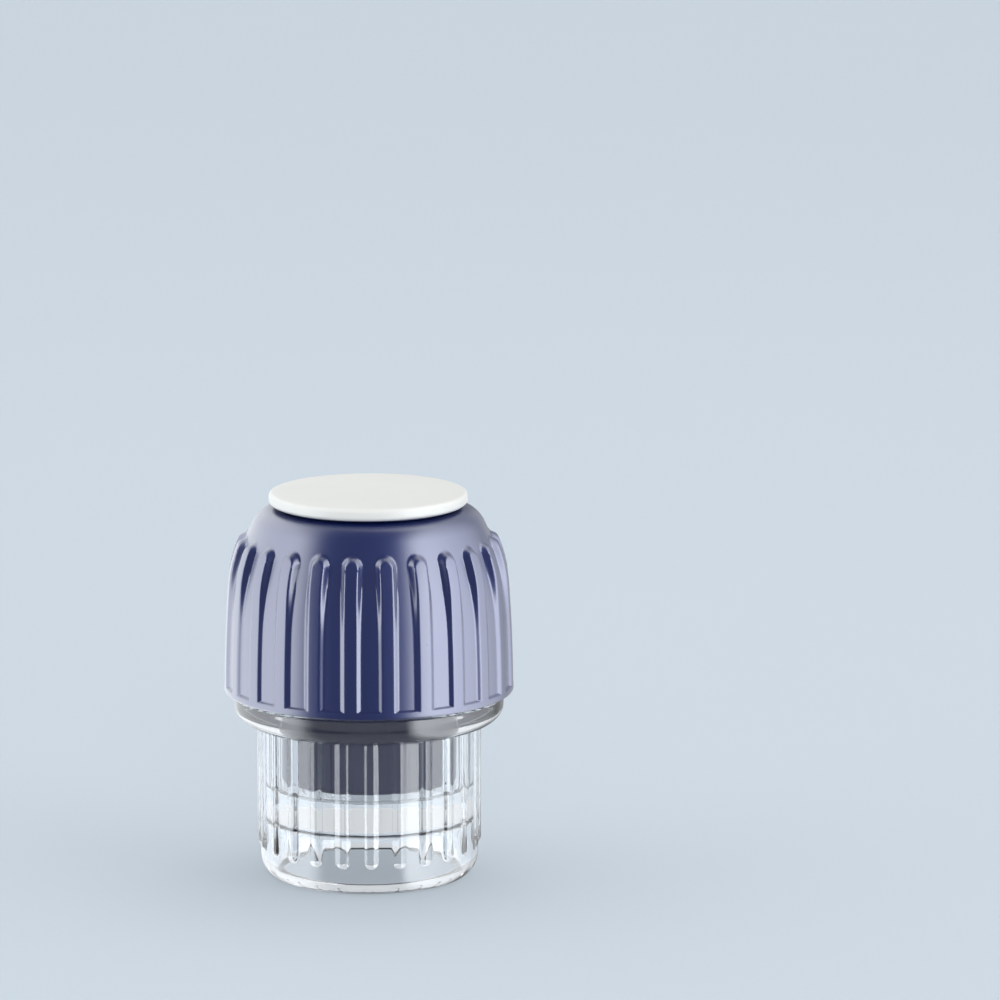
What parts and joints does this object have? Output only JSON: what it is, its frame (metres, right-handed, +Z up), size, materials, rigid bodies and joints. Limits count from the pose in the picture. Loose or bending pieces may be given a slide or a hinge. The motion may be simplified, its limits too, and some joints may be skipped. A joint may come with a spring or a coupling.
{
  "type": "pill crusher",
  "caption": "Screw-top pill crusher: clear ribbed cup, domed grip cap with a hollow storage plunger, and a snap-in lid.",
  "frame": {"origin": "centre of the flat ring that the cup stands on, at the bottom of the object", "axes": "+Z up along the screw axis, from the cup's base to the storage lid; the middle of the front is at -Y"},
  "size_m": [0.0508, 0.0506, 0.068],
  "materials": {
    "clear_plastic": "clear, polished moulded plastic",
    "blue_cap": "glossy moulded plastic",
    "blue_insert": "smooth moulded plastic",
    "white_lid": "satin moulded plastic"
  },
  "bodies": {
    "cup": {"crushing_cup": "clear_plastic"},
    "plunger": {"plunger": "blue_insert"},
    "cap": {"cap_shell": "blue_cap"},
    "lid": {"storage_lid": "white_lid"}
  },
  "joints": [
    {"name": "cap_rise", "type": "slide", "parent": "cup", "child": "plunger", "axis": [0, 0, 1], "range_m": [0, 0.00683]},
    {"name": "cap_turn", "type": "hinge", "parent": "plunger", "child": "cap", "pos_m": [0, 0, 0.048], "axis": [0, 0, 1], "range_deg": [0, 630]},
    {"name": "lid_lift", "type": "slide", "parent": "cap", "child": "lid", "axis": [0, 0, 1], "range_m": [0, 0.02]}
  ],
  "couplings": [
    {"joint": "cap_rise", "follows": "cap_turn", "m_per_rad": 0.0006207}
  ]
}
